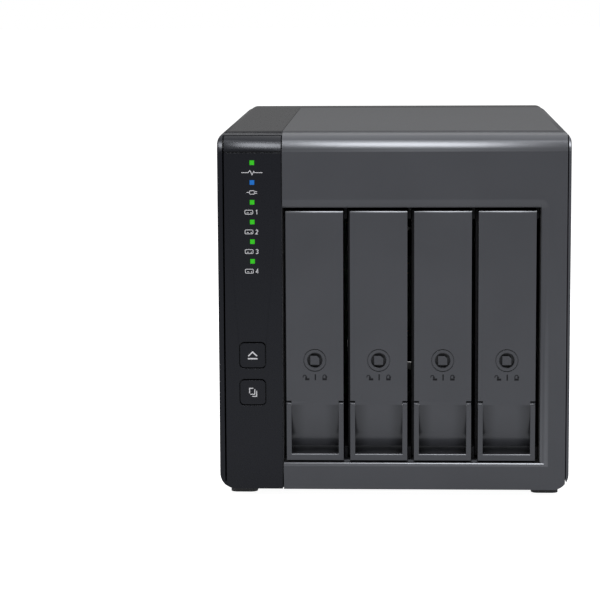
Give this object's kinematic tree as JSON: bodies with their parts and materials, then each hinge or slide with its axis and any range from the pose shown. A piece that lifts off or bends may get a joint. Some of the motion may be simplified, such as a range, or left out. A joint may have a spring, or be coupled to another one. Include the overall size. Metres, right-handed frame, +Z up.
{
  "type": "nas enclosure",
  "caption": "Desktop drive enclosure with pull-out trays, swing-out handles, key locks, a control column and a rear fan.",
  "frame": {"origin": "middle of the footprint on the floor, under the feet", "axes": "+Z up, -Y out of the front, +X to the right seen from the front"},
  "size_m": [0.16, 0.219, 0.1685],
  "materials": {
    "black_plastic": "satin",
    "grey_plastic": "satin",
    "dark_plastic": "matte",
    "cage_steel": "matte",
    "circuit_board": "satin",
    "led_body": "gloss",
    "green_light": "glowing",
    "blue_light": "glowing",
    "chip_black": "matte",
    "switch_metal": "satin",
    "screw_steel": "satin",
    "switch_red": "satin",
    "switch_white": "satin",
    "rubber": "matte",
    "clip_plastic": "satin",
    "lock_plastic": "satin"
  },
  "bodies": {
    "root": {"left_shell": "black_plastic", "right_shell": "grey_plastic", "front_bezel": "grey_plastic", "control_column": "black_plastic", "front_board": "circuit_board", "led_chips": "led_body", "light_pipes_green": "green_light", "light_pipe_blue": "blue_light", "cage_top_plate": "cage_steel", "cage_bottom_plate": "cage_steel", "cage_side_plates": "cage_steel", "guide_rails": "dark_plastic", "backplane_board": "circuit_board", "drive_connectors": "dark_plastic", "controller_board": "circuit_board", "controller_chips": "chip_black", "tact_switches": "switch_metal", "rear_bezel": "black_plastic", "rear_panel": "dark_plastic", "fan_frame": "dark_plastic", "fan_screws": "screw_steel", "rear_board": "circuit_board", "usb_c_port": "switch_metal", "dc_jack": "dark_plastic", "dip_switch_block": "switch_red", "rubber_feet": "rubber", "housing_screws": "screw_steel"},
    "tray_1": {"tray_1_carrier": "dark_plastic", "tray_1_face": "grey_plastic", "tray_1_clips": "clip_plastic", "tray_1_hinge_pins": "screw_steel"},
    "handle_1": {"tray_1_handle": "grey_plastic"},
    "lock_1": {"tray_1_lock": "lock_plastic"},
    "tray_2": {"tray_2_carrier": "dark_plastic", "tray_2_face": "grey_plastic", "tray_2_clips": "clip_plastic", "tray_2_hinge_pins": "screw_steel"},
    "handle_2": {"tray_2_handle": "grey_plastic"},
    "lock_2": {"tray_2_lock": "lock_plastic"},
    "tray_3": {"tray_3_carrier": "dark_plastic", "tray_3_face": "grey_plastic", "tray_3_clips": "clip_plastic", "tray_3_hinge_pins": "screw_steel"},
    "handle_3": {"tray_3_handle": "grey_plastic"},
    "lock_3": {"tray_3_lock": "lock_plastic"},
    "tray_4": {"tray_4_carrier": "dark_plastic", "tray_4_face": "grey_plastic", "tray_4_clips": "clip_plastic", "tray_4_hinge_pins": "screw_steel"},
    "handle_4": {"tray_4_handle": "grey_plastic"},
    "lock_4": {"tray_4_lock": "lock_plastic"},
    "eject_button": {"eject_button": "black_plastic"},
    "copy_button": {"copy_button": "black_plastic"},
    "power_button": {"power_button": "black_plastic"},
    "set_button": {"set_button": "black_plastic"},
    "dip_lever_1": {"dip_lever_1": "switch_white"},
    "dip_lever_2": {"dip_lever_2": "switch_white"},
    "dip_lever_3": {"dip_lever_3": "switch_white"},
    "fan_rotor": {"fan_rotor": "dark_plastic"}
  },
  "joints": [
    {"name": "tray_1_slide", "type": "slide", "parent": "root", "child": "tray_1", "axis": [0, -1, 0], "range_m": [0, 0.165]},
    {"name": "tray_2_slide", "type": "slide", "parent": "root", "child": "tray_2", "axis": [0, -1, 0], "range_m": [0, 0.165]},
    {"name": "tray_3_slide", "type": "slide", "parent": "root", "child": "tray_3", "axis": [0, -1, 0], "range_m": [0, 0.165]},
    {"name": "tray_4_slide", "type": "slide", "parent": "root", "child": "tray_4", "axis": [0, -1, 0], "range_m": [0, 0.165]},
    {"name": "handle_1_swing", "type": "hinge", "parent": "tray_1", "child": "handle_1", "pos_m": [-0.03615, -0.1068, 0.0431], "axis": [-1, 0, 0], "range_deg": [0, 80]},
    {"name": "handle_2_swing", "type": "hinge", "parent": "tray_2", "child": "handle_2", "pos_m": [-0.00693, -0.1068, 0.0431], "axis": [-1, 0, 0], "range_deg": [0, 80]},
    {"name": "handle_3_swing", "type": "hinge", "parent": "tray_3", "child": "handle_3", "pos_m": [0.02229, -0.1068, 0.0431], "axis": [-1, 0, 0], "range_deg": [0, 80]},
    {"name": "handle_4_swing", "type": "hinge", "parent": "tray_4", "child": "handle_4", "pos_m": [0.05151, -0.1068, 0.0431], "axis": [-1, 0, 0], "range_deg": [0, 80]},
    {"name": "lock_1_turn", "type": "hinge", "parent": "tray_1", "child": "lock_1", "pos_m": [-0.03615, -0.1083, 0.0639], "axis": [0, 1, 0], "range_deg": [0, 90]},
    {"name": "lock_2_turn", "type": "hinge", "parent": "tray_2", "child": "lock_2", "pos_m": [-0.00693, -0.1083, 0.0639], "axis": [0, 1, 0], "range_deg": [0, 90]},
    {"name": "lock_3_turn", "type": "hinge", "parent": "tray_3", "child": "lock_3", "pos_m": [0.02229, -0.1083, 0.0639], "axis": [0, 1, 0], "range_deg": [0, 90]},
    {"name": "lock_4_turn", "type": "hinge", "parent": "tray_4", "child": "lock_4", "pos_m": [0.05151, -0.1083, 0.0639], "axis": [0, 1, 0], "range_deg": [0, 90]},
    {"name": "eject_press", "type": "slide", "parent": "root", "child": "eject_button", "axis": [0, 1, 0], "range_m": [0, 0.001], "stiffness_N_per_m": 400},
    {"name": "copy_press", "type": "slide", "parent": "root", "child": "copy_button", "axis": [0, 1, 0], "range_m": [0, 0.001], "stiffness_N_per_m": 400},
    {"name": "power_press", "type": "slide", "parent": "root", "child": "power_button", "axis": [0, -1, 0], "range_m": [0, 0.001], "stiffness_N_per_m": 400},
    {"name": "set_press", "type": "slide", "parent": "root", "child": "set_button", "axis": [0, -1, 0], "range_m": [0, 0.001], "stiffness_N_per_m": 400},
    {"name": "dip_1_slide", "type": "slide", "parent": "root", "child": "dip_lever_1", "axis": [0, 0, 1], "range_m": [0, 0.0022]},
    {"name": "dip_2_slide", "type": "slide", "parent": "root", "child": "dip_lever_2", "axis": [0, 0, 1], "range_m": [0, 0.0022]},
    {"name": "dip_3_slide", "type": "slide", "parent": "root", "child": "dip_lever_3", "axis": [0, 0, 1], "range_m": [0, 0.0022]},
    {"name": "fan_spin", "type": "hinge", "parent": "root", "child": "fan_rotor", "pos_m": [0.0145, 0.0855, 0.086], "axis": [0, 1, 0], "continuous": true}
  ]
}
